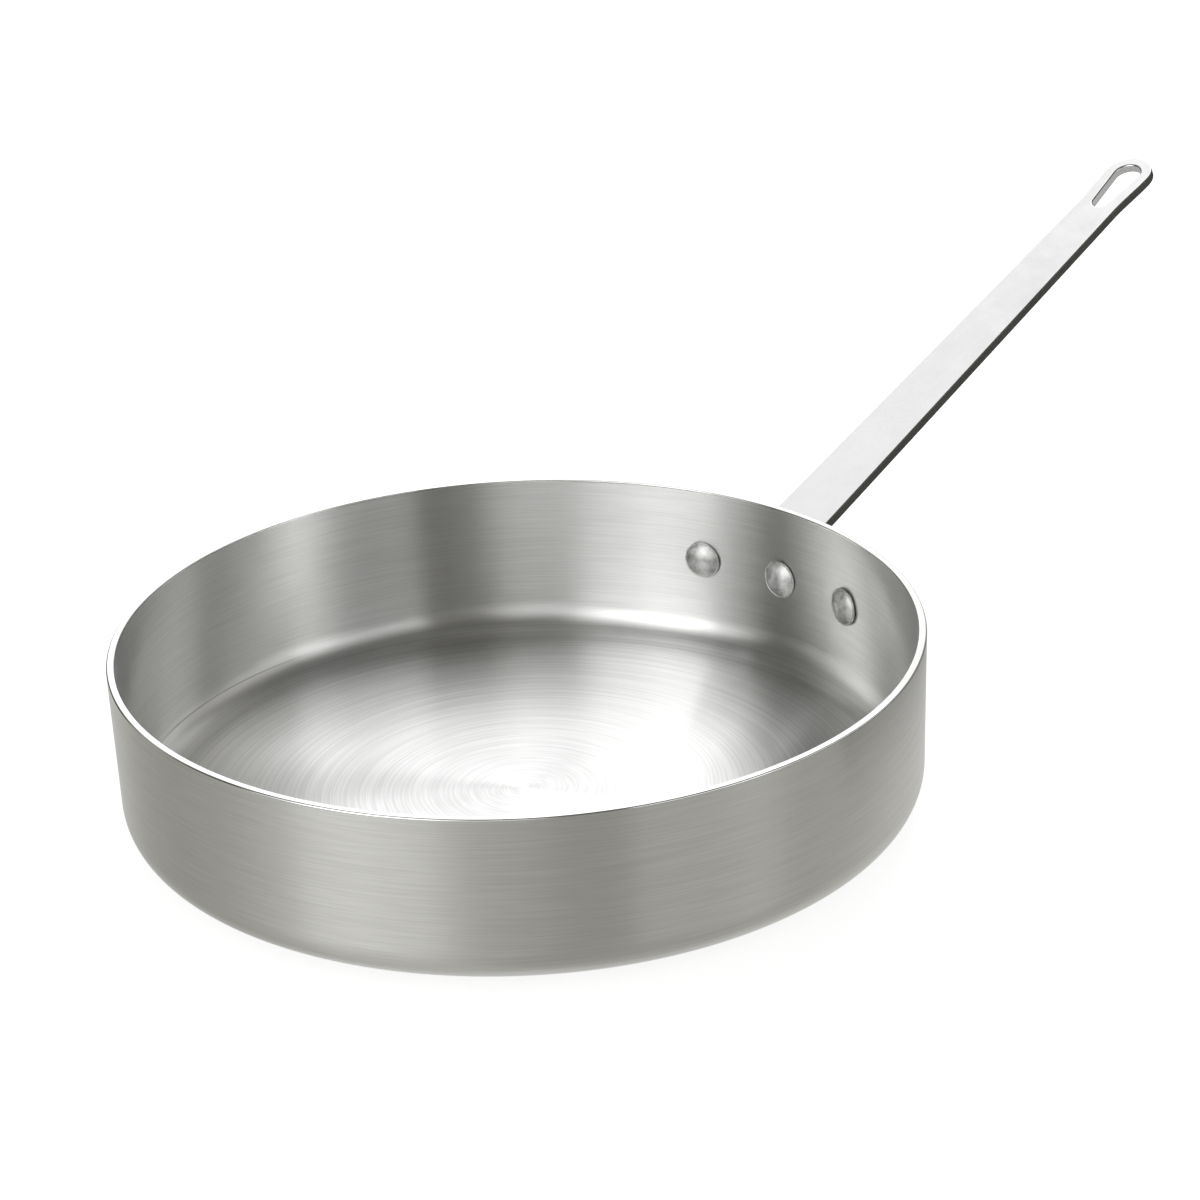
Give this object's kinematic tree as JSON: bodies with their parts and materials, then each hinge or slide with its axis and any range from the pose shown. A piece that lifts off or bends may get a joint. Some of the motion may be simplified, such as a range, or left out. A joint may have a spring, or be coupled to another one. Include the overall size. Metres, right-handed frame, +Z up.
{
  "type": "saute pan",
  "caption": "Straight-sided aluminium saute pan with a flat base, a long riveted flat-bar handle rising from below the rim, and a hang hole in the handle's looped end.",
  "frame": {"origin": "centre of the flat base, on the surface the pan stands on", "axes": "+Z up along the pan's axis, +X from the pan's axis towards the handle"},
  "size_m": [0.5396, 0.305, 0.1513],
  "materials": {
    "body_aluminium": "spun aluminium with a fine turned satin finish",
    "handle_plated_steel": "bright plated steel bar, smooth",
    "rivet_aluminium": "solid aluminium rivet with a set, lightly dented dome"
  },
  "bodies": {
    "root": {"pan_body": "body_aluminium", "handle": "handle_plated_steel", "rivet_left": "rivet_aluminium", "rivet_centre": "rivet_aluminium", "rivet_right": "rivet_aluminium"}
  },
  "joints": []
}
